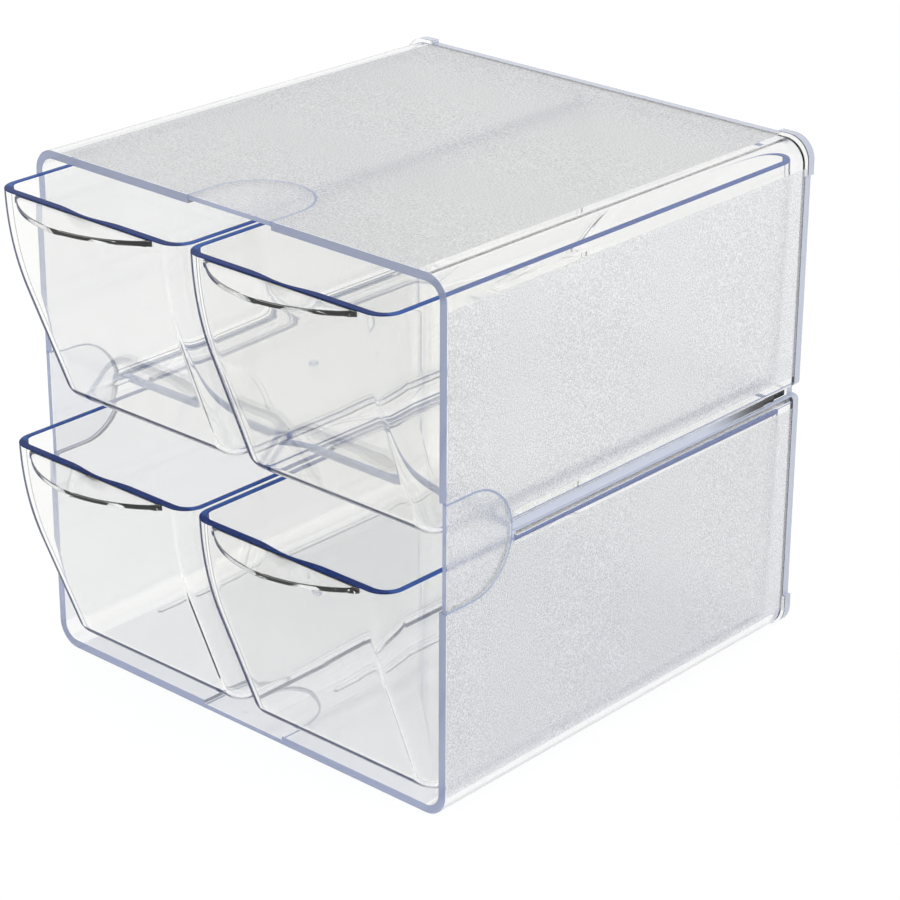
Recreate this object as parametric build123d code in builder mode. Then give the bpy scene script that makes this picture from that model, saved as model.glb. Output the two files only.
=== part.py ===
"""A clear cube organizer: an open-fronted shell, a slotted-in shelf and four drawers with finger lips."""
import os
from math import atan, cos, degrees, radians, sin, sqrt, tan

from build123d import *

# ------------------------------------------------------------------ driving sizes, in mm
# shell
SHELL_WIDTH = 152.4          # 6 in, outside, at the front rim
SHELL_HEIGHT = 152.4         # 6 in, outside, at the front rim
SHELL_DEPTH = 152.0          # front rim to back face
SHELL_WALL = 2.4
BACK_WALL = 2.6
SHELL_CORNER = 7.0           # outside radius of the four long edges
SHELL_FALL = 1.0             # the sides and the top lean in by this much from front to back
BACK_PAD_ARM = 11.0          # corner pads: length of each arm, in from the corner
BACK_PAD_DEPTH = 3.0         # corner pads: reach forward from the back face

# finger reliefs: round-ended pockets in the inner face of every wall, at the front rim
RELIEF_RADIUS = 15.4
RELIEF_LENGTH = 25.6
RELIEF_SINK = 1.1

# side slots, and the shelf whose edges stand in them
SLOT_SETBACK = 1.0           # from the end of the finger relief
SLOT_LIP = 1.5               # rounding of the slot's outer lips
SHELF_THICKNESS = 2.6
SHELF_HEADROOM = 0.4         # slot height over the shelf's thickness
SHELF_EDGE_SINK = 1.4        # shelf edge below the shell's outer face
SHELF_END_GAP = 0.6          # shelf to the slot's front end and to the back wall
SHELF_SIDE_GAP = 0.4         # shelf to the side walls, where it leaves the slots
SHELF_EDGE_ROUND = 1.0
TONGUE_END = 137.0           # where the full tongue ends, from the front rim
LATCH_LENGTH = 6.0           # the short stepped-in end of the tongue
LATCH_STEP = 0.8

# runner ribs, on the floor and on the shelf
RIB_WIDTH = 1.4
RIB_HEIGHT = 0.8
RIB_START = 29.0             # from the front rim
RIB_SPAN = 55.0              # between the two ribs under one drawer
RIB_REAR_GAP = 2.5           # rib to the back wall

# drawers
DRAWER_SIDE_GAP = 1.4        # rim to the shell's side, at the front
DRAWER_BETWEEN = 1.2         # rim to rim, side by side
DRAWER_HEADROOM = 3.7        # rim to the shelf over it
DRAWER_WALL = 1.8
DRAWER_FLOOR_GAP = 0.2       # drawer underside over the runner ribs
DRAWER_REAR_GAP = 0.8        # drawer to the back wall, pushed home
DRAWER_FALL = 1.0            # walls lean in by this much from rim to floor
DRAWER_CORNER = 6.5          # upright edges, outside
DRAWER_FOOT = 5.5            # edge between the walls and the floor, outside
FRONT_PROUD = 18.2           # drawer rim ahead of the shell's rim
FRONT_BOW = 85.0             # radius of the front wall's upper, bowed part
FRONT_LEAN = 21.0            # degrees from upright, of its lower, straight part

# finger lips
LIP_CHORD = 53.4             # width where the lip leaves the rim
LIP_REACH = 10.8             # reach ahead of the rim
LIP_THICKNESS = 1.7

# how many straight bands stand for the front's bow and for the foot's quarter round
BOW_BANDS = 3
FOOT_BANDS = 4

# ------------------------------------------------------------------ worked out from them
FRONT = -SHELL_DEPTH / 2     # y of the front rim; the origin is the middle of the underside
BACK_INSIDE = SHELL_DEPTH - BACK_WALL
SLOT_START = RELIEF_LENGTH + SLOT_SETBACK
SLOT_HEIGHT = SHELF_THICKNESS + SHELF_HEADROOM
SHELF_BOTTOM = (SHELL_HEIGHT - SLOT_HEIGHT) / 2
SHELF_TOP = SHELF_BOTTOM + SHELF_THICKNESS
DRAWER_WIDTH = SHELL_WIDTH / 2 - SHELL_WALL - DRAWER_SIDE_GAP - DRAWER_BETWEEN / 2
DRAWER_SPACING = DRAWER_WIDTH + DRAWER_BETWEEN
DRAWER_RISE = RIB_HEIGHT + DRAWER_FLOOR_GAP  # drawer underside over what carries its ribs
DRAWER_HEIGHT = SHELF_BOTTOM - SHELL_WALL - DRAWER_RISE - DRAWER_HEADROOM
RIB_END = BACK_INSIDE - RIB_REAR_GAP
RIB_PLACES = [side * (DRAWER_SPACING / 2 + half * RIB_SPAN / 2) for side in (-1, 1) for half in (-1, 1)]
DRAWER_REAR = BACK_INSIDE - DRAWER_REAR_GAP
BOW_DROP = FRONT_BOW * sin(radians(FRONT_LEAN))


def upright(depth):
    """The upright plane across the shell, at a depth behind the front rim: x to the right, y up."""
    return Plane.XZ.offset(-(FRONT + depth))


def fall_at(depth):
    """How far the sides and the top have leaned in at this depth."""
    return SHELL_FALL * depth / SHELL_DEPTH


def shell_form(depth, inset):
    """The shell's outer form, or with an inset its inside. Its sides and top lean in; the underside is level."""
    with BuildPart() as form:
        with BuildSketch(upright(0)):
            with Locations((0, SHELL_HEIGHT / 2)):
                Rectangle(SHELL_WIDTH - 2 * inset, SHELL_HEIGHT - 2 * inset)
        extrude(amount=-depth)
        leaning = form.faces().filter_by(Axis.X) + form.faces().sort_by(Axis.Z)[-1:]
        draft(leaning, upright(0), -degrees(atan(SHELL_FALL / SHELL_DEPTH)))
        long_edges = form.edges().filter_by(lambda edge: abs(edge.tangent_at(0.5).Y) > 0.9)
        fillet(long_edges, radius=SHELL_CORNER - inset)
    return form.part


def relief_outline(plane):
    """A finger relief on a plane whose y runs back from the front rim: straight sides, round end."""
    with BuildSketch(plane) as relief:
        with Locations((0, RELIEF_LENGTH - RELIEF_RADIUS)):
            Circle(RELIEF_RADIUS)
        Rectangle(2 * RELIEF_RADIUS, RELIEF_LENGTH - RELIEF_RADIUS, align=(Align.CENTER, Align.MIN))
    return relief.sketch


def rib_outlines(height):
    """Round-ended outlines of the runner ribs, at a height."""
    rib_length = RIB_END - RIB_START
    with BuildSketch(Plane.XY.offset(height)) as ribs:
        with Locations(*[(x, FRONT + RIB_START + rib_length / 2) for x in RIB_PLACES]):
            SlotOverall(rib_length, RIB_WIDTH, rotation=90)
    return ribs.sketch


# ------------------------------------------------------------------ shell
def make_cube_shell():
    """One moulding: five walls, reliefs, side slots, runner ribs and back corner pads."""
    inner_half = SHELL_WIDTH / 2 - SHELL_WALL
    middle = SHELL_HEIGHT / 2
    with BuildPart() as cube_shell:
        add(shell_form(SHELL_DEPTH, 0))

        # pads that bring the back corners out to the size of the front rim
        with BuildSketch(upright(SHELL_DEPTH)) as pads:
            with Locations((0, SHELL_HEIGHT / 2)):
                RectangleRounded(SHELL_WIDTH, SHELL_HEIGHT, SHELL_CORNER)
                with GridLocations(SHELL_WIDTH - BACK_PAD_ARM, SHELL_HEIGHT - BACK_PAD_ARM, 2, 2):
                    Rectangle(BACK_PAD_ARM, BACK_PAD_ARM, mode=Mode.INTERSECT)
        extrude(amount=BACK_PAD_DEPTH)

        add(shell_form(BACK_INSIDE, SHELL_WALL), mode=Mode.SUBTRACT)

        # finger reliefs, sunk into the inner faces of the floor, the top and both sides
        extrude(
            relief_outline(Plane((0, FRONT, SHELL_WALL - RELIEF_SINK))),
            amount=RELIEF_SINK,
            mode=Mode.SUBTRACT,
        )
        extrude(
            relief_outline(Plane((0, FRONT, SHELL_HEIGHT - SHELL_WALL + RELIEF_SINK), z_dir=(0, 0, 1))),
            amount=-RELIEF_SINK - fall_at(RELIEF_LENGTH),
            mode=Mode.SUBTRACT,
        )
        for side in (-1, 1):
            wall_plane = Plane(
                origin=(side * (inner_half + RELIEF_SINK), FRONT, middle), x_dir=(0, 0, side), z_dir=(-side, 0, 0)
            )
            extrude(
                relief_outline(wall_plane),
                amount=RELIEF_SINK + fall_at(RELIEF_LENGTH),
                mode=Mode.SUBTRACT,
            )

        # side slots for the shelf's edges: round at the front end, open at the back, outer lips rounded
        for side in (-1, 1):
            with BuildSketch(Plane.YZ.offset(side * (inner_half - SHELL_FALL))):
                with Locations((FRONT + SLOT_START + SHELL_DEPTH, middle)):
                    SlotOverall(2 * SHELL_DEPTH, SLOT_HEIGHT)
            extrude(amount=side * 2 * SHELL_WALL, mode=Mode.SUBTRACT)
        lips = cube_shell.edges().filter_by(
            lambda edge: abs(edge.center().X) > SHELL_WIDTH / 2 - SHELL_FALL
            and abs(edge.center().Z - middle) < SLOT_HEIGHT
            and abs(edge.center().Y) < SHELL_DEPTH / 2 - BACK_WALL
        )
        fillet(lips, radius=SLOT_LIP)

        extrude(rib_outlines(SHELL_WALL), amount=RIB_HEIGHT)
    return cube_shell.part


# ------------------------------------------------------------------ shelf
def make_shelf():
    """A plate whose long edges stand in the side slots, with a stepped-in end to each edge."""
    start = SLOT_START + SHELF_END_GAP
    end = BACK_INSIDE - SHELF_END_GAP

    def in_slot(depth):
        return SHELL_WIDTH / 2 - fall_at(depth) - SHELF_EDGE_SINK

    def in_latch(depth):
        return in_slot(depth) - LATCH_STEP

    def clear_of_wall(depth):
        return SHELL_WIDTH / 2 - fall_at(depth) - SHELL_WALL - SHELF_SIDE_GAP

    latch_end = TONGUE_END + LATCH_LENGTH
    right_side = [
        (in_slot(start), start),
        (in_slot(TONGUE_END), TONGUE_END),
        (in_latch(TONGUE_END), TONGUE_END),
        (in_latch(latch_end), latch_end),
        (clear_of_wall(latch_end), latch_end),
        (clear_of_wall(end), end),
    ]
    left_side = [(-x, depth) for x, depth in reversed(right_side)]
    with BuildPart() as shelf:
        with BuildSketch(Plane((0, FRONT, SHELF_BOTTOM))):
            with BuildLine():
                Polyline(*right_side, *left_side, close=True)
            make_face()
        extrude(amount=SHELF_THICKNESS)
        front_edges = shelf.edges().filter_by(Axis.X).group_by(Axis.Y)[0]
        fillet(front_edges, radius=SHELF_EDGE_ROUND)
        extrude(rib_outlines(SHELF_TOP), amount=RIB_HEIGHT)
    return shelf.part


# ------------------------------------------------------------------ drawers
def front_lean(drop):
    """How far the front wall has leaned back, this far below the rim: first a bow, then a straight slope."""
    if drop < BOW_DROP:
        return FRONT_BOW - sqrt(FRONT_BOW**2 - drop**2)
    return FRONT_BOW * (1 - cos(radians(FRONT_LEAN))) + (drop - BOW_DROP) * tan(radians(FRONT_LEAN))


def bin_section(centre_x, rim, drop, inset):
    """The bin's level cross-section, this far below the rim, shrunk on all sides by inset."""
    side = inset + DRAWER_FALL * drop / DRAWER_HEIGHT
    front = front_lean(drop) - FRONT_PROUD + inset
    rear = DRAWER_REAR - side
    with BuildSketch(Plane((centre_x, FRONT + (front + rear) / 2, rim - drop))) as section:
        RectangleRounded(DRAWER_WIDTH - 2 * side, rear - front, DRAWER_CORNER - inset)
    return section.sketch


def bin_form(centre_x, rim, wall):
    """The bin's outer form, or with a wall its inside: bands from the rim down, then round the foot."""
    foot = DRAWER_FOOT - wall
    foot_drop = DRAWER_HEIGHT - DRAWER_FOOT
    upper = [(BOW_DROP * step / BOW_BANDS, wall) for step in range(BOW_BANDS + 1)] + [(foot_drop, wall)]
    turns = [radians(90 * step / FOOT_BANDS) for step in range(FOOT_BANDS + 1)]
    lower = [(foot_drop + foot * sin(turn), wall + foot * (1 - cos(turn))) for turn in turns]
    with BuildPart() as form:
        loft(sections=[bin_section(centre_x, rim, drop, inset) for drop, inset in upper], ruled=True)
        loft(sections=[bin_section(centre_x, rim, drop, inset) for drop, inset in lower], ruled=True)
    return form.part


def make_drawer(centre_x, level):
    """One bin, its underside just over the runner ribs that stand on this level."""
    rim = level + DRAWER_RISE + DRAWER_HEIGHT
    lip_radius = (LIP_CHORD**2 / 4 + LIP_REACH**2) / (2 * LIP_REACH)
    rim_front = FRONT - FRONT_PROUD
    with BuildPart() as drawer:
        add(bin_form(centre_x, rim, 0))

        # finger lip: a bow-shaped plate, level with the rim
        with BuildSketch(Plane.XY.offset(rim - LIP_THICKNESS)):
            with Locations((centre_x, rim_front - LIP_REACH + lip_radius)):
                Circle(lip_radius)
            with Locations((centre_x, rim_front + DRAWER_WALL / 2)):
                Rectangle(2 * lip_radius, 2 * LIP_REACH, align=(Align.CENTER, Align.MAX), mode=Mode.INTERSECT)
        extrude(amount=LIP_THICKNESS)

        add(bin_form(centre_x, rim, DRAWER_WALL), mode=Mode.SUBTRACT)
    return drawer.part


# ------------------------------------------------------------------ the set of pieces
half = DRAWER_SPACING / 2
pieces = {
    "cube_shell": make_cube_shell(),
    "shelf": make_shelf(),
    "drawer_upper_left": make_drawer(-half, SHELF_TOP),
    "drawer_upper_right": make_drawer(half, SHELF_TOP),
    "drawer_lower_left": make_drawer(-half, SHELL_WALL),
    "drawer_lower_right": make_drawer(half, SHELL_WALL),
}
os.makedirs("parts", exist_ok=True)
for name, piece in pieces.items():
    piece.label = name
    export_step(piece, f"parts/{name}.step")
    print(name, round(piece.volume), "mm3")
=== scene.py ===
# %% [markdown]
# # A clear cube organizer with four drawers
#
# The real object is moulded from crystal polystyrene: a cube-shaped shell, a shelf that stands in
# two side slots, and four bins with a crescent finger lip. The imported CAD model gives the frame.
# The shell and the shelf keep their CAD shape. Each bin is made again here with finer curves,
# because clear plastic bends what is seen through it and shows every facet.

# %% Load the frame
from math import cos, pi, radians, sin, sqrt, tan

import bmesh
import bpy
from mathutils import Matrix, Vector


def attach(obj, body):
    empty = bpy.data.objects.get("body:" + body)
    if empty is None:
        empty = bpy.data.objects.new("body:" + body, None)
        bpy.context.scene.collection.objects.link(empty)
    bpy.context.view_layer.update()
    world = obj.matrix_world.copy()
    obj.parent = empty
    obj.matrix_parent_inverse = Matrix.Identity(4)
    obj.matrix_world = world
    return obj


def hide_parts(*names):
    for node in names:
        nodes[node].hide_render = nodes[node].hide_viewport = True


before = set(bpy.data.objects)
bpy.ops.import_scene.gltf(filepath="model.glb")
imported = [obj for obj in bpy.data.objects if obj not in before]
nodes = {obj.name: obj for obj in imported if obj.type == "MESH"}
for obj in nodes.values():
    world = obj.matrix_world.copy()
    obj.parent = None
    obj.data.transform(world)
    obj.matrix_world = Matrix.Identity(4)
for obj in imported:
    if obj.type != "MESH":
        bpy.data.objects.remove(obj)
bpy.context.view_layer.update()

MM = 0.001
scene = bpy.context.scene
print("nodes:", sorted(nodes))

# %% [markdown]
# ## Camera
#
# The photograph looks down on the cube from its front right. The camera's place, turn and lens were
# worked out from the straight edges of the shell, whose real sizes are known. So it is written as
# the place of its eye, the directions of its own axes and its focal length in pixels.

# %% Camera
EYE = Vector((536.20, -584.52, 410.39)) * MM
RIGHT = Vector((0.74121, 0.67126, 0.00409))
UP = Vector((-0.27446, 0.29748, 0.91443))
BACK = RIGHT.cross(UP)
FOCAL_PIXELS = 3012.2
FRAME_PIXELS = 900
SENSOR_WIDTH = 36.0

lens = bpy.data.cameras.new("photo_lens")
lens.sensor_width = SENSOR_WIDTH
lens.lens = FOCAL_PIXELS / FRAME_PIXELS * SENSOR_WIDTH
lens.clip_start = 0.01
lens.clip_end = 20.0
camera = bpy.data.objects.new("photo_camera", lens)
turn = Matrix((RIGHT, UP, BACK)).transposed().to_4x4()
camera.matrix_world = Matrix.Translation(EYE) @ turn
scene.collection.objects.link(camera)
scene.camera = camera
print("lens, mm:", round(lens.lens, 2))

# %% [markdown]
# ## Sizes of a bin
#
# These repeat the CAD source, in millimetres from the middle of the shell's underside: y runs from
# the front of the shell, at -76, to its back. A bin is one wall of even thickness. So the whole bin
# is one outline, a rectangle with round corners, carried along the section of the wall: up the
# outside, over the rim and down the inside.

# %% Sizes of a bin
SHELL_FRONT = -76.0
BIN_SPACING = 73.0
BIN_WIDTH = 71.8
BIN_HEIGHT = 67.6
BIN_REAR = SHELL_FRONT + 148.6
BIN_RIM = {"upper": 145.9, "lower": 71.0}
WALL = 1.8
FRONT_EXTRA = 0.7            # the front wall is this much thicker than the others
SIDE_FALL = 1.0              # the draft: how far each side leans in, from rim to floor
CORNER = 6.5
FOOT = 5.5
RIM_FRONT = SHELL_FRONT - 18.2
RIM_ROUND = 0.25
print("bin, mm:", BIN_WIDTH, "x", round(BIN_REAR - RIM_FRONT, 1), "x", BIN_HEIGHT)

# %% [markdown]
# The front wall leaves the rim upright, bows back along a circle and then runs straight, leaning by
# 21 degrees. One function gives how far back it has leaned, so every ring of the bin can ask it.

# %% Lean of the front wall
BOW_RADIUS = 85.0
LEAN = radians(21.0)
bow_drop = BOW_RADIUS * sin(LEAN)


def front_lean(drop):
    """How far back the front wall has leaned, this far below the rim."""
    if drop < bow_drop:
        return BOW_RADIUS - sqrt(BOW_RADIUS**2 - drop**2)
    return BOW_RADIUS * (1 - cos(LEAN)) + (drop - bow_drop) * tan(LEAN)


print("lean at the floor, mm:", round(front_lean(BIN_HEIGHT), 1))

# %% [markdown]
# The lip's outer edge is an arc, found from its chord and its reach. Behind the lip, the middle of
# the front rim is thinned from the inside, as if a finger had scooped it.

# %% Lip and scoop
LIP_CHORD = 53.4
LIP_REACH = 10.8
LIP_THICKNESS = 1.7
LIP_END = 0.6                # the two ends of the lip stop square, with this much reach
LIP_EDGE_ROUND = 0.3
SCOOP_HALF = 12.5            # half the length of the thinned middle of the front rim
SCOOP_DEPTH = 1.3
SCOOP_DROP = 8.0             # how far below the rim the scoop has died out
lip_radius = (LIP_CHORD**2 / 4 + LIP_REACH**2) / (2 * LIP_REACH)
print("lip radius, mm:", round(lip_radius, 2))

# %% [markdown]
# ## The outline, once
#
# A one-cell grid with its corners bevelled is the rounded rectangle. Its front edge is cut into
# columns, because the lip grows from them. Each corner of the outline is then remembered as a spot:
# which corner it belongs to and in which direction it lies, or how far along the front it is.

# %% Outline and spots
CORNER_STEPS = 14
LIP_COLUMNS = 40
PATTERN_HALF_DEPTH = 80.0    # only a pattern: place() finds the real front and rear
NEARLY = 0.01


def outline_spots():
    """The rounded outline as a list of spots, in order round the bin."""
    half_w, half_d = BIN_WIDTH / 2, PATTERN_HALF_DEPTH
    bm = bmesh.new()
    bmesh.ops.create_grid(bm, x_segments=1, y_segments=1, size=1.0)
    bmesh.ops.scale(bm, vec=(half_w, half_d, 1.0), verts=bm.verts)
    bmesh.ops.bevel(
        bm, geom=bm.verts[:], offset=CORNER, offset_type="OFFSET", affect="VERTICES",
        segments=CORNER_STEPS, profile=0.5, material=-1,
    )
    front = [e for e in bm.edges if all(v.co.y < -half_d + NEARLY for v in e.verts)]
    bmesh.ops.subdivide_edges(bm, edges=front, cuts=LIP_COLUMNS + 1)
    flat_x, flat_y = half_w - CORNER, half_d - CORNER
    spots = []
    for vert in bm.faces[:][0].verts:
        x, y = vert.co.x, vert.co.y
        if abs(x) < flat_x - NEARLY:
            spots.append(("front", x, 0.0, 0.0, 0.0))
        else:
            side, end = (1 if x > 0 else -1), (1 if y > 0 else -1)
            way = ((x - side * flat_x) / CORNER, (y - end * flat_y) / CORNER)
            spots.append(("corner", side, end, *way))
    bm.free()
    # the columns between the two ends of the lip are spaced evenly
    order = sorted((s[1], i) for i, s in enumerate(spots) if s[0] == "front")
    for step, (_, index) in enumerate(order):
        x = LIP_CHORD * (step / (len(order) - 1) - 0.5)
        spots[index] = ("front", x, 0.0, 0.0, 0.0)
    return spots


spots = outline_spots()
print("corners of the outline:", len(spots))

# %% [markdown]
# A spot can be put at any depth of the bin, and that is where the bin gets its form. The draft of
# the sides, the lean of the front, the thicker front wall and the scoop all move the spots a little.

# %% Place of a spot
def place(spot, centre_x, rim, inset, drop, inside):
    """Where a spot lies at this inset and this far below the rim, in metres."""
    side_in = inset + SIDE_FALL * drop / BIN_HEIGHT
    radius = CORNER - inset
    front = RIM_FRONT + front_lean(drop) + inset + (FRONT_EXTRA if inside else 0.0)
    rear = BIN_REAR - side_in
    half_w = BIN_WIDTH / 2 - side_in
    kind, a, b, dx, dy = spot
    if kind == "front":
        x, y = a, front
        if inside and abs(a) < SCOOP_HALF and drop < SCOOP_DROP:
            along = cos(pi / 2 * a / SCOOP_HALF) ** 2
            y -= SCOOP_DEPTH * along * (1 - drop / SCOOP_DROP) ** 2
    else:
        x = a * (half_w - radius) + radius * dx
        y = (rear - radius if b > 0 else front + radius) + radius * dy
    return Vector((centre_x + x, y, rim - drop)) * MM


print("first spot at the rim:", [round(c, 4) for c in place(spots[0], 0.0, 0.0, 0.0, 0.0, False)])

# %% [markdown]
# ## The wall's section
#
# The section is a list of steps of inset and drop. It could be a curve that is sampled, but a list
# shows plainly where rings are needed: close together round the foot, in the bow and over the rim,
# and far apart on the straight.

# %% Section of the wall
FOOT_STEPS = 10
BOW_STEPS = 12
RIM_STEPS = 3
STRAIGHT_DROPS = (50.0, 38.0)
ABOVE_FOOT = 4.0
BELOW_LIP = 0.5
SCOOP_DROPS = (1.7, 3.5, 5.5, 8.0)


def wall_section():
    """Steps of (inset, drop, inside): up the outside, and then down the inside to its floor."""
    turns = [pi / 2 * k / FOOT_STEPS for k in range(FOOT_STEPS + 1)]
    foot_drop = BIN_HEIGHT - FOOT
    straight = [foot_drop - ABOVE_FOOT, *STRAIGHT_DROPS]
    bow = [bow_drop * k / BOW_STEPS for k in range(BOW_STEPS, 0, -1)]
    outside = [
        (FOOT * (1 - cos(t)), foot_drop + FOOT * sin(t), False) for t in reversed(turns)
    ]
    outside += [(0.0, d, False) for d in straight]
    outside += [(0.0, d, False) for d in bow if d > LIP_THICKNESS + BELOW_LIP]
    outside += [(0.0, LIP_THICKNESS, False), (0.0, RIM_ROUND, False)]
    over = [pi / 2 * k / RIM_STEPS for k in range(RIM_STEPS + 1)]
    outside += [(RIM_ROUND * (1 - cos(t)), RIM_ROUND * (1 - sin(t)), False) for t in over[1:]]
    inner_foot = FOOT - WALL
    foot_start = BIN_HEIGHT - WALL - inner_foot
    inside = [(WALL - RIM_ROUND * (1 - sin(t)), RIM_ROUND * (1 - cos(t)), True) for t in over]
    inside += [(WALL, d, True) for d in SCOOP_DROPS]
    inside += [(WALL, d, True) for d in reversed(bow) if d > SCOOP_DROP + 1.0]
    inside += [(WALL, d, True) for d in reversed(straight)]
    inside += [
        (WALL + inner_foot * (1 - cos(t)), foot_start + inner_foot * sin(t), True) for t in turns
    ]
    return outside, inside


outside_steps, inside_steps = wall_section()
print("rings:", len(outside_steps), "outside,", len(inside_steps), "inside")

# %% [markdown]
# ## The lip
#
# On the real bin the lip is one piece with the wall. A separate plate laid on the wall would show a
# seam in clear plastic. So the lip is extruded from the wall's own topmost band of faces, its tips
# are put on the arc, and its edge is rounded with a small bevel.

# %% Lip
def raise_lip(bm, strip, centre_x):
    """Extrudes the lip forward from the strip of faces under the front rim."""
    half = LIP_CHORD / 2 * MM + 1e-6
    chosen = [
        f for f in strip
        if all(abs(v.co.x - centre_x * MM) < half for v in f.verts)
        and f.calc_center_median().y < (RIM_FRONT + 1) * MM
    ]
    made = bmesh.ops.extrude_face_region(bm, geom=chosen)["geom"]
    bmesh.ops.delete(bm, geom=chosen, context="FACES")
    tips = [g for g in made if isinstance(g, bmesh.types.BMVert)]
    for vert in tips:
        across = vert.co.x / MM - centre_x
        reach = sqrt(max(lip_radius**2 - across**2, 0.0)) - (lip_radius - LIP_REACH)
        vert.co.y = (RIM_FRONT - max(reach, LIP_END)) * MM
    tip_set = set(tips)
    edges = [
        e for e in bm.edges
        if all(v in tip_set for v in e.verts) and abs(e.verts[0].co.z - e.verts[1].co.z) < 1e-6
    ]
    bmesh.ops.bevel(
        bm, geom=edges, offset=LIP_EDGE_ROUND * MM, offset_type="OFFSET", affect="EDGES",
        segments=3, profile=0.5, material=-1,
    )
    bmesh.ops.dissolve_degenerate(bm, edges=bm.edges, dist=2e-6)


print("lip: chord", LIP_CHORD, "reach", LIP_REACH, "thickness", LIP_THICKNESS)

# %% [markdown]
# ## One bin
#
# The outline is extruded from step to step, and each new ring is put in its place. The two ends are
# closed with one face each: the underside and the floor inside. Shading is smooth over the round
# corners, and stays hard where the lip meets the wall.

# %% One bin
HARD_EDGE = radians(42.0)


def build_bin(name, centre_x, rim):
    """One bin with its lip, as a closed mesh whose second material is the rim."""
    steps = outside_steps + inside_steps
    over_rim = range(len(outside_steps) - RIM_STEPS, len(outside_steps) + RIM_STEPS + 1)
    bm = bmesh.new()
    ring = [bm.verts.new(place(s, centre_x, rim, *steps[0])) for s in spots]
    bm.faces.new(ring)
    edges = [bm.edges.get((ring[i - 1], ring[i])) for i in range(len(ring))]
    lip_strip = []
    for number, (inset, drop, inside) in enumerate(steps[1:], 1):
        made = bmesh.ops.extrude_edge_only(bm, edges=edges)["geom"]
        new_verts = {g for g in made if isinstance(g, bmesh.types.BMVert)}
        new_faces = [g for g in made if isinstance(g, bmesh.types.BMFace)]
        ring = [
            next(e.other_vert(v) for e in v.link_edges if e.other_vert(v) in new_verts)
            for v in ring
        ]
        for spot, vert in zip(spots, ring):
            vert.co = place(spot, centre_x, rim, inset, drop, inside)
        edges = [bm.edges.get((ring[i - 1], ring[i])) for i in range(len(ring))]
        for face in new_faces:
            face.material_index = 1 if number in over_rim else 0
        if not inside and drop == RIM_ROUND:
            lip_strip = new_faces
    bm.faces.new(ring)
    bmesh.ops.recalc_face_normals(bm, faces=bm.faces)
    raise_lip(bm, lip_strip, centre_x)
    for face in bm.faces:
        face.smooth = True
    for edge in bm.edges:
        edge.smooth = edge.calc_face_angle(0.0) < HARD_EDGE
    mesh = bpy.data.meshes.new(name)
    bm.to_mesh(mesh)
    bm.free()
    piece = bpy.data.objects.new(name, mesh)
    scene.collection.objects.link(piece)
    return piece


print("faces in one ring:", len(spots))

# %% [markdown]
# ## Helpers for materials
#
# Colours are written as sRGB hex values, and one function turns them to linear. Another adds a node
# of any kind with its settings and its links.

# %% Colour and nodes
def linear(hex_colour):
    """An sRGB hex colour as linear RGBA."""
    channels = [int(hex_colour[i : i + 2], 16) / 255 for i in (1, 3, 5)]
    return (
        *(c / 12.92 if c <= 0.04045 else ((c + 0.055) / 1.055) ** 2.4 for c in channels), 1.0,
    )


def node(tree, kind, *values, numbered=None, **named):
    """Adds a shader node. Plain values fill its inputs in order, and numbered ones by their place.

    A name in small letters is a setting, and one with a capital is an input. An input takes a
    number, a colour, a socket to link, or another node, whose first output is linked.
    """
    made = tree.nodes.new("ShaderNode" + kind)
    inputs = {**dict(enumerate(values)), **(numbered or {})}
    for name, value in named.items():
        if name[0].islower():
            setattr(made, name, value)
        else:
            inputs[name.replace("_", " ")] = value
    for place_or_name, value in inputs.items():
        if isinstance(value, bpy.types.Node):
            value = value.outputs[0]
        if isinstance(value, bpy.types.NodeSocket):
            tree.links.new(value, made.inputs[place_or_name])
        else:
            made.inputs[place_or_name].default_value = value
    return made


print("a mid grey as linear:", [round(c, 3) for c in linear("#808080")])

# %% [markdown]
# Where a finish lies is a mask from 0 to 1 on the object's own coordinates. A few small functions
# let the masks be read as words: between two places, all of these, any of these, how far off.

# %% Masks
FAR = 200.0                  # millimetres, beyond anything on the object


def all_of(tree, *masks):
    """1 where every mask is 1. A plain number among them weakens the mask."""
    joined = masks[0]
    for mask in masks[1:]:
        joined = node(tree, "Math", joined, mask, operation="MULTIPLY")
    return joined


def any_of(tree, *masks):
    """1 where any of the masks is 1."""
    joined = masks[0]
    for mask in masks[1:]:
        joined = node(tree, "Math", joined, mask, operation="MAXIMUM")
    return joined


def between(tree, value, low, high, soft):
    """1 between low and high, falling to 0 over a soft edge, in the value's own unit."""
    smooth = {"interpolation_type": "SMOOTHSTEP"}
    rise = node(tree, "MapRange", value, low - soft, low + soft, 0.0, 1.0, **smooth)
    fall = node(tree, "MapRange", value, high - soft, high + soft, 1.0, 0.0, **smooth)
    return all_of(tree, rise, fall)


def between_mm(tree, value, low, high, soft):
    """The same for a place on the object, with the bounds in millimetres."""
    return between(tree, value, low * MM, high * MM, soft * MM)


def how_far(tree, across, along):
    """The distance that two steps at right angles make together."""
    both = node(tree, "CombineXYZ", across, along)
    return node(tree, "VectorMath", both, operation="LENGTH").outputs["Value"]


print("masks can reach", FAR, "mm")

# %% [markdown]
# ## Crystal polystyrene, polished
#
# The bins come from a polished mould, so their walls are clear and glossy. Polystyrene bends light
# strongly: its index is 1.59. Lamp light is let straight through. That stands for the light that
# the curved walls would throw about, and it keeps the drawers from going dark.

# %% Clear plastic
POLYSTYRENE_IOR = 1.59
SHADOW_TINT = "#EEF1F6"


def new_material(name):
    """An empty material and its node tree."""
    material = bpy.data.materials.new(name)
    material.use_nodes = True
    material.node_tree.nodes.clear()
    return material, material.node_tree


def finish_clear(tree, surface):
    """Ends the material, and lets lamp light through it to what stands behind."""
    shadow_ray = node(tree, "LightPath").outputs["Is Shadow Ray"]
    clear = node(tree, "BsdfTransparent", Color=linear(SHADOW_TINT))
    node(tree, "OutputMaterial", node(tree, "MixShader", shadow_ray, surface, clear))


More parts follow.
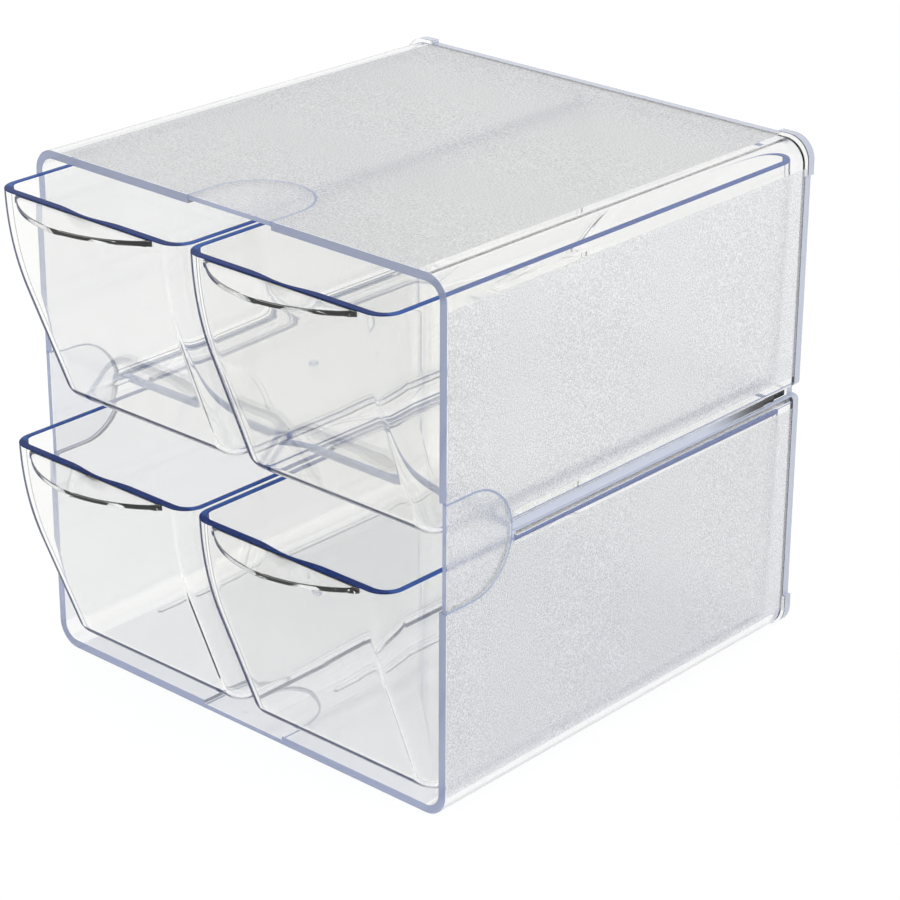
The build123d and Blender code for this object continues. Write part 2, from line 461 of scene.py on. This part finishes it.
def toner_and_shade_plastic(tree, hex_colour):
    """Plastic looked into lengthwise: toner blue with painted shade, as little light leaves it."""
    return node(
        tree, "BsdfPrincipled", Base_Color=linear(hex_colour), Roughness=0.25,
        IOR=POLYSTYRENE_IOR, Specular_IOR_Level=0.05,
    )


print("index of polystyrene:", POLYSTYRENE_IOR)

# %% [markdown]
# Where a round corner or the foot of a bin turns away from the eye, the line of sight runs along
# inside the wall, and the photograph shows a thin dark blue outline. The clear shader takes no
# colour from the depth of the plastic, so a Layer Weight draws the outline. It is kept to the round
# places: a flat wall seen at a low angle stays clear.

# %% Outline of round corners
# The outline is painted shade: a dark blue over the toner's tint, where light is lost along the
# wall.
OUTLINE_STARTS, OUTLINE_FULL, OUTLINE_MOST = 0.60, 0.69, 0.97
CORNER_SIDEWAYS = (0.10, 0.975)   # how far sideways the surface of an upright corner looks
FOOT_DOWNWARD = (0.44, 0.95)      # how far down the surface of the foot looks
UPRIGHT_UNTIL, LEVEL_FROM = 0.55, 0.8


def turned_away(tree):
    """0 face on, and nearly 1 where a round corner or foot turns away from the eye."""
    smooth = {"interpolation_type": "SMOOTHSTEP"}
    facing = node(tree, "LayerWeight", Blend=0.5).outputs["Facing"]
    turned = node(
        tree, "MapRange", facing, OUTLINE_STARTS, OUTLINE_FULL, 0.0, OUTLINE_MOST, **smooth
    )
    normal = node(tree, "NewGeometry").outputs["Normal"]
    parts = node(tree, "SeparateXYZ", normal)
    slope = node(tree, "Math", parts.outputs["Z"], operation="ABSOLUTE")
    sideways = node(tree, "Math", parts.outputs["X"], operation="ABSOLUTE")
    upright = node(tree, "MapRange", slope, UPRIGHT_UNTIL, LEVEL_FROM, 1.0, 0.0, **smooth)
    corner = between(tree, sideways, *CORNER_SIDEWAYS, 0.015)
    foot = between(tree, slope, *FOOT_DOWNWARD, 0.03)
    return all_of(tree, turned, upright, any_of(tree, corner, foot))


print("outline from", OUTLINE_STARTS, "to", OUTLINE_FULL)

# %% [markdown]
# The wall itself: faint waves where the plastic flowed in the mould, and in each floor the small
# round mark that the mould's gate leaves.

# %% Bin wall
FLOW_SIZE = 35.0             # width of the waves
FLOW_HEIGHT = 0.4
GATE_MARK_Y = -10.0
GATE_MARK_RING = (0.9, 1.4)  # inner and outer radius
# LINE_BLUE draws the gate mark's ring, and on the shell lines of painted shade at reliefs and slots.
LINE_BLUE, LINE_SHARE = "#66759C", 0.7


def crystal_polystyrene():
    """A bin's clear glossy wall, with painted dark blue shade where it turns away from the eye."""
    material, tree = new_material("crystal polystyrene, polished")
    coords = node(tree, "TexCoord").outputs["Object"]
    flow = node(tree, "TexNoise", Vector=coords, Scale=1 / (FLOW_SIZE * MM), Detail=1.0)
    waves = node(tree, "Bump", Strength=0.04, Distance=FLOW_HEIGHT * MM, Height=flow)
    clear = node(
        tree, "BsdfPrincipled", Base_Color=linear("#FDFDFC"), Roughness=0.0, IOR=POLYSTYRENE_IOR,
        Transmission_Weight=1.0, Normal=waves,
    )
    outlined = node(tree, "MixShader", turned_away(tree), clear, toner_and_shade_plastic(tree, "#081E4E"))
    axes = node(tree, "SeparateXYZ", coords)
    across = node(tree, "Math", axes.outputs["X"], operation="ABSOLUTE")
    off_x = node(tree, "Math", across, BIN_SPACING / 2 * MM, operation="SUBTRACT")
    off_y = node(tree, "Math", axes.outputs["Y"], GATE_MARK_Y * MM, operation="SUBTRACT")
    ring = between_mm(tree, how_far(tree, off_x, off_y), *GATE_MARK_RING, 0.15)
    faint = all_of(tree, ring, LINE_SHARE)
    finish_clear(tree, node(tree, "MixShader", faint, outlined, toner_and_shade_plastic(tree, LINE_BLUE)))
    return material


wall_finish = crystal_polystyrene()
print("made", wall_finish.name)

# %% [markdown]
# ## The same plastic, seen end-on
#
# At the rim the eye looks down into tens of millimetres of plastic, and its blue toner shows.
# Little light comes back out of it, so the blue is darkened by painted shade: navy at the front,
# which is the deepest, and lighter along the sides. Seen from inside the plastic, the rim is clear,
# or it would black out the lip.

# %% Bin rim
FRONT_RIM_DEPTH = 3.2
TONE_SIZE = 9.0              # width of the soft clouds in the blue


def rim_polystyrene():
    """The blue toner of a bin's rim, looked into end-on, darkened by painted shade."""
    material, tree = new_material("crystal polystyrene, seen end-on")
    coords = node(tree, "TexCoord").outputs["Object"]
    y = node(tree, "SeparateXYZ", coords).outputs["Y"]
    front = between_mm(tree, y, -FAR, RIM_FRONT + FRONT_RIM_DEPTH, 0.8)
    # Painted shade over the toner's blue: navy at the front rim, lighter along the sides.
    blues = {6: linear("#2B4780"), 7: linear("#0F2558")}
    blue = node(tree, "Mix", front, numbered=blues, data_type="RGBA").outputs[2]
    cloud = node(tree, "TexNoise", Vector=coords, Scale=1 / (TONE_SIZE * MM), Detail=2.0)
    tone = node(tree, "MapRange", cloud, To_Min=0.7, To_Max=1.3)
    shade = node(
        tree, "Mix", 1.0, numbered={6: blue, 7: tone}, data_type="RGBA", blend_type="MULTIPLY"
    )
    deep = node(
        tree, "BsdfPrincipled", Base_Color=shade.outputs[2], Roughness=0.25, IOR=POLYSTYRENE_IOR,
        Specular_IOR_Level=0.05,
    )
    clear = node(
        tree, "BsdfPrincipled", Base_Color=linear("#FDFDFC"), Roughness=0.0, IOR=POLYSTYRENE_IOR,
        Transmission_Weight=1.0,
    )
    from_inside = node(tree, "NewGeometry").outputs["Backfacing"]
    finish_clear(tree, node(tree, "MixShader", from_inside, deep, clear))
    return material


rim_toner_and_shade = rim_polystyrene()
print("made", rim_toner_and_shade.name)

# %% [markdown]
# ## The shell: where its finishes lie
#
# The shell's outer faces are finely stippled by a spark-eroded mould, with a polished margin along
# each long edge. Its rims and the two slots are seen end-on, and their lavender and grey are painted
# shade and light over the plastic's tint. Each place is a mask on the object's own coordinates, so
# the CAD mesh stays as it is and nothing slides in another view.

# %% Places on the shell
SHELL_MIDDLE = 76.2
SIDE_FACE, TOP_FACE, UNDER_FACE = 74.9, 150.9, 0.2    # a face lies outside these
STIPPLE_LENGTH = (-75.6, 73.2)
STIPPLE_SIDE = (6.5, 143.5)
STIPPLE_TOP_HALF, STIPPLE_UNDER_HALF = 66.0, 68.0
SLOT_MARGIN = (71.2, 81.2)
SLOT_MARGIN_START = -49.5
FRONT_RIM = -75.93
BACK_RIM = (73.45, 75.96)
SLOT_HEIGHTS = (74.5, 77.9)
SLOT_LENGTH = (-51.2, 73.4)


def face_masks(tree, across, z):
    """The shell's outer side, top and under faces."""
    side = between_mm(tree, across, SIDE_FACE, FAR, 0.1)
    top = between_mm(tree, z, TOP_FACE, FAR, 0.2)
    under = between_mm(tree, z, -FAR, UNDER_FACE, 0.1)
    return side, top, under


def stippled_places(tree, across, y, z):
    """The stippled panels, which keep off the long edges and the slots."""
    side, top, under = face_masks(tree, across, z)
    beside = between_mm(tree, z, *SLOT_MARGIN, 0.3)
    behind = between_mm(tree, y, SLOT_MARGIN_START, FAR, 0.3)
    off_slot = node(tree, "Math", 1.0, all_of(tree, beside, behind), operation="SUBTRACT")
    on_side = all_of(tree, side, between_mm(tree, z, *STIPPLE_SIDE, 0.35), off_slot)
    on_top = all_of(tree, top, between_mm(tree, across, -FAR, STIPPLE_TOP_HALF, 0.35))
    on_under = all_of(tree, under, between_mm(tree, across, -FAR, STIPPLE_UNDER_HALF, 0.35))
    length = between_mm(tree, y, *STIPPLE_LENGTH, 0.15)
    return all_of(tree, length, any_of(tree, on_top, on_side, on_under))


print("stipple on the sides from", STIPPLE_SIDE[0], "to", STIPPLE_SIDE[1], "mm")

# %% [markdown]
# The finger reliefs are thinner places in the shell's walls, and their edge is drawn as a fine line
# of painted shade. The line follows the outline of a relief, straight sides and a round end, so it
# comes from the distance to that outline. The slots have a painted line of shade along each flared
# edge.

# %% Fine lines on the shell
RELIEF_RADIUS = 15.4
RELIEF_LENGTH = 25.6
RELIEF_LINE = (-0.3, 0.25)
SLOT_LINE = (2.75, 3.2)      # from the slot's middle
SLOT_LINE_LENGTH = (-50.8, 73.0)


def relief_distance(tree, across, along):
    """How far a place is outside the outline of a finger relief."""
    round_from = (SHELL_FRONT + RELIEF_LENGTH - RELIEF_RADIUS) * MM
    beyond = node(tree, "Math", along, round_from, operation="SUBTRACT")
    past = node(tree, "Math", beyond, 0.0, operation="MAXIMUM")
    away = how_far(tree, across, past)
    return node(tree, "Math", away, RELIEF_RADIUS * MM, operation="SUBTRACT")


def fine_lines(tree, x, y, z, across):
    """Where the reliefs' and slots' lines are, and where the inside of a relief is."""
    side, top, under = face_masks(tree, across, z)
    outer = any_of(tree, side, top, under)
    off_middle = node(tree, "Math", z, SHELL_MIDDLE * MM, operation="SUBTRACT")
    on_top, on_side = relief_distance(tree, x, y), relief_distance(tree, off_middle, y)
    distance = node(tree, "Mix", side, numbered={2: on_top, 3: on_side})
    relief_line = all_of(tree, outer, between_mm(tree, distance, *RELIEF_LINE, 0.15))
    off_slot = node(tree, "Math", off_middle, operation="ABSOLUTE")
    slot_line = all_of(
        tree, side, between_mm(tree, off_slot, *SLOT_LINE, 0.12),
        between_mm(tree, y, *SLOT_LINE_LENGTH, 0.2),
    )
    hollow = all_of(tree, outer, between_mm(tree, distance, -FAR, 0.0, 0.3))
    return any_of(tree, relief_line, slot_line), hollow


print("relief:", 2 * RELIEF_RADIUS, "mm wide,", RELIEF_LENGTH, "mm long")

# %% [markdown]
# ## Crystal polystyrene, stippled
#
# A stippled face is rough clear plastic under a thin milk of scattered light. It could be a plain
# rough glass, but that gives a blur without the grain. Seen from inside, against the light, the
# stipple scatters forward and looks much clearer.

# %% Stippled plastic
GRAIN = 0.42                 # drawn a little coarser than the real stipple, so that it shows
GRAIN_HEIGHT = 0.12
GRAIN_GREYS = (0.32, 0.92)   # the darkest and the lightest grain
MILK, MILK_LOST_IN_RELIEF, MILK_LOST_FROM_INSIDE = 0.45, 0.06, 0.7


def clear_base(tree, **finish):
    """Clear plastic of the shell and the shelf."""
    return node(
        tree, "BsdfPrincipled", Base_Color=linear("#FAFAFA"), IOR=POLYSTYRENE_IOR,
        Transmission_Weight=1.0, **finish,
    )


def stippled_surface(tree, coords, panels, hollow):
    """Clear plastic, milky and rough where the panels are."""
    grain = node(
        tree, "TexNoise", Vector=coords, Scale=1 / (GRAIN * MM), Detail=2.0, Roughness=0.6
    )
    bump = node(
        tree, "Bump", Strength=all_of(tree, panels, 0.5), Distance=GRAIN_HEIGHT * MM, Height=grain
    )
    clear = clear_base(tree, Roughness=all_of(tree, panels, 0.27), Normal=bump)
    grey = node(tree, "MapRange", grain, 0.3, 0.7, *GRAIN_GREYS)
    bluer = node(tree, "Math", grey, 0.004, operation="ADD")
    milk = node(tree, "CombineColor", Red=grey, Green=grey, Blue=bluer)
    scattered = node(
        tree, "MixShader", 0.5, node(tree, "BsdfDiffuse", Color=milk),
        node(tree, "BsdfTranslucent", Color=milk),
    )
    lost = all_of(tree, hollow, MILK_LOST_IN_RELIEF)
    depth = node(tree, "Math", MILK, lost, operation="SUBTRACT")
    inner = node(tree, "NewGeometry").outputs["Backfacing"]
    lost_inside = all_of(tree, inner, MILK_LOST_FROM_INSIDE)
    kept = node(tree, "Math", 1.0, lost_inside, operation="SUBTRACT")
    return node(tree, "MixShader", all_of(tree, panels, depth, kept), clear, scattered)


print("grain, mm:", GRAIN)

# %% [markdown]
# Rims keep a little clearness under their lavender, which is painted shade over the plastic's tint.
# The back rim's paler lavender is the painted shade of the back wall seen edge-on, and the slots'
# grey is painted light and shade for the shelf's edge seen in them. They are mixed over the stippled
# surface in turn: front rim, back rim, slots and, last, the fine lines.

# %% Shell finish
# Painted shade and light over the plastic's tint, for edges and slots seen end-on.
FRONT_LAVENDER, BACK_LAVENDER = "#A3ADCB", "#C6CCDC"
SLOT_GREY = "#B2B7C4"
RIM_SHARE, SLOT_SHARE = 0.85, 0.9


def rim_plastic(tree, hex_colour):
    """A shell or shelf edge seen end-on: painted shade over the toner, still a little clear."""
    return node(
        tree, "BsdfPrincipled", Base_Color=linear(hex_colour), Roughness=0.15,
        IOR=POLYSTYRENE_IOR, Transmission_Weight=0.3,
    )


def shell_polystyrene():
    """Stippled, frosted-looking panels between clear margins and rims of painted lavender shade."""
    material, tree = new_material("crystal polystyrene, stippled")
    coords = node(tree, "TexCoord").outputs["Object"]
    x, y, z = node(tree, "SeparateXYZ", coords).outputs
    across = node(tree, "Math", x, operation="ABSOLUTE")
    lines, hollow = fine_lines(tree, x, y, z, across)
    panels = stippled_places(tree, across, y, z)
    slots = all_of(
        tree, between_mm(tree, across, 73.0, FAR, 0.1), between_mm(tree, z, *SLOT_HEIGHTS, 0.1),
        between_mm(tree, y, *SLOT_LENGTH, 0.3),
    )
    layers = (
        (between_mm(tree, y, -FAR, FRONT_RIM, 0.03), RIM_SHARE, rim_plastic(tree, FRONT_LAVENDER)),
        (between_mm(tree, y, *BACK_RIM, 0.03), RIM_SHARE, rim_plastic(tree, BACK_LAVENDER)),
        (slots, SLOT_SHARE, toner_and_shade_plastic(tree, SLOT_GREY)),
        (lines, LINE_SHARE, toner_and_shade_plastic(tree, LINE_BLUE)),
    )
    whole = stippled_surface(tree, coords, panels, hollow)
    for mask, share, finish in layers:
        whole = node(tree, "MixShader", all_of(tree, mask, share), whole, finish)
    finish_clear(tree, whole)
    return material


shell_finish = shell_polystyrene()
print("made", shell_finish.name)

# %% [markdown]
# ## The shelf
#
# The shelf is the same plastic, polished. Its front edge is painted lavender shade like the shell's
# rim, and its two side edges, which show in the slots, are painted grey of light and shade.

# %% Shelf finish
SHELF_FRONT, SHELF_SIDE = -47.9, 74.0


def shelf_polystyrene():
    """A clear glossy plate; its front edge and sides are painted lavender and grey shade."""
    material, tree = new_material("crystal polystyrene, shelf")
    coords = node(tree, "TexCoord").outputs["Object"]
    axes = node(tree, "SeparateXYZ", coords)
    across = node(tree, "Math", axes.outputs["X"], operation="ABSOLUTE")
    front = between_mm(tree, axes.outputs["Y"], -FAR, SHELF_FRONT, 0.1)
    side = between_mm(tree, across, SHELF_SIDE, FAR, 0.1)
    whole = clear_base(tree, Roughness=0.0)
    layers = (
        (front, RIM_SHARE, rim_plastic(tree, FRONT_LAVENDER)),
        (side, SLOT_SHARE, toner_and_shade_plastic(tree, SLOT_GREY)),
    )
    for mask, share, finish in layers:
        whole = node(tree, "MixShader", all_of(tree, mask, share), whole, finish)
    finish_clear(tree, whole)
    return material


shelf_finish = shelf_polystyrene()
print("made", shelf_finish.name)

# %% [markdown]
# ## Put the bins and the finishes in place
#
# Each bin rides on its drawer's body and stands for the CAD drawer, which stays hidden for the
# collision checks. A weighted-normal modifier keeps the flat walls flat beside the round corners.

# %% Bins and finishes
for level in ("upper", "lower"):
    for name, side in (("left", -1), ("right", 1)):
        cad_name = f"drawer_{level}_{name}"
        piece = build_bin(f"{cad_name}_bin", side * BIN_SPACING / 2, BIN_RIM[level])
        piece.data.materials.append(wall_finish)
        piece.data.materials.append(rim_toner_and_shade)
        even = piece.modifiers.new("even shading", "WEIGHTED_NORMAL")
        even.keep_sharp = True
        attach(piece, cad_name)
        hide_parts(cad_name)
        print(piece.name, len(piece.data.polygons), "faces")
for name, finish in (("cube_shell", shell_finish), ("shelf", shelf_finish)):
    nodes[name].material_slots[0].material = finish

# %% [markdown]
# ## Floor and backdrop
#
# The photograph has a plain white ground with hardly a shadow. The paper takes the object's shadow,
# and rays from the camera, or through the plastic, see it as nearly white.

# %% Floor
FLOOR_HALF = 4.0
PAPER_WHITE_SHARE = 0.9

bm = bmesh.new()
bmesh.ops.create_grid(bm, x_segments=1, y_segments=1, size=FLOOR_HALF)
floor_mesh = bpy.data.meshes.new("floor")
bm.to_mesh(floor_mesh)
bm.free()
floor = bpy.data.objects.new("floor", floor_mesh)
floor.location.z = -0.2 * MM
scene.collection.objects.link(floor)

paper, tree = new_material("white paper")
path = node(tree, "LightPath").outputs
seen = any_of(
    tree, path["Is Camera Ray"], path["Is Glossy Ray"], path["Is Transmission Ray"]
)
matt = node(tree, "BsdfDiffuse", Color=linear("#F2F2F2"))
glow = node(tree, "Emission", Color=(1.0, 1.0, 1.0, 1.0), Strength=1.0)
white = node(tree, "MixShader", all_of(tree, seen, PAPER_WHITE_SHARE), matt, glow)
node(tree, "OutputMaterial", white)
floor_mesh.materials.append(paper)
print("floor, m:", 2 * FLOOR_HALF)

# %% [markdown]
# The world is a white room that is slightly darker overhead, so that faces turned up and faces
# turned sideways differ a little.

# %% World
HORIZON, OVERHEAD = (0.15, 1.0), (0.75, 0.95)    # height on a ball, and strength

world = bpy.data.worlds.new("white room")
world.use_nodes = True
scene.world = world
tree = world.node_tree
tree.nodes.clear()
camera_ray = node(tree, "LightPath").outputs["Is Camera Ray"]
direction = node(tree, "TexCoord").outputs["Generated"]
height = node(tree, "SeparateXYZ", direction).outputs["Z"]
sky = node(
    tree, "MapRange", height, HORIZON[0], OVERHEAD[0], HORIZON[1], OVERHEAD[1],
    interpolation_type="SMOOTHSTEP",
)
room = node(tree, "Background", (1.0, 1.0, 1.0, 1.0), any_of(tree, camera_ray, sky))
node(tree, "OutputWorld", room)
print("strength overhead:", OVERHEAD[1])

# %% [markdown]
# ## Light
#
# Three large soft lamps stand where a product photographer would put them: overhead, front left and
# right. Clear plastic bends and mirrors light many times, so the light may bounce often.

# %% Lamps
def soft_lamp(name, place_mm, size_mm, power):
    """A rectangular lamp at this place, aimed at the middle of the object."""
    lamp = bpy.data.lights.new(name, "AREA")
    lamp.shape = "RECTANGLE"
    lamp.size, lamp.size_y = size_mm[0] * MM, size_mm[1] * MM
    lamp.energy = power
    holder = bpy.data.objects.new(name, lamp)
    holder.location = Vector(place_mm) * MM
    aim = Vector((0, 0, 80)) - Vector(place_mm)
    holder.rotation_euler = aim.to_track_quat("-Z", "Y").to_euler()
    scene.collection.objects.link(holder)
    print(name, power, "W")


soft_lamp("overhead softbox", (-100, 100, 900), (700, 700), 3.0)
soft_lamp("left softbox", (-800, -500, 500), (500, 700), 3.0)
soft_lamp("right softbox", (800, 100, 400), (400, 600), 3.0)

# %% View and bounces
LIGHT_BOUNCES = 32

scene.view_settings.view_transform = "Standard"
scene.cycles.max_bounces = LIGHT_BOUNCES
scene.cycles.transmission_bounces = LIGHT_BOUNCES
scene.cycles.transparent_max_bounces = LIGHT_BOUNCES
print("bounces:", LIGHT_BOUNCES)
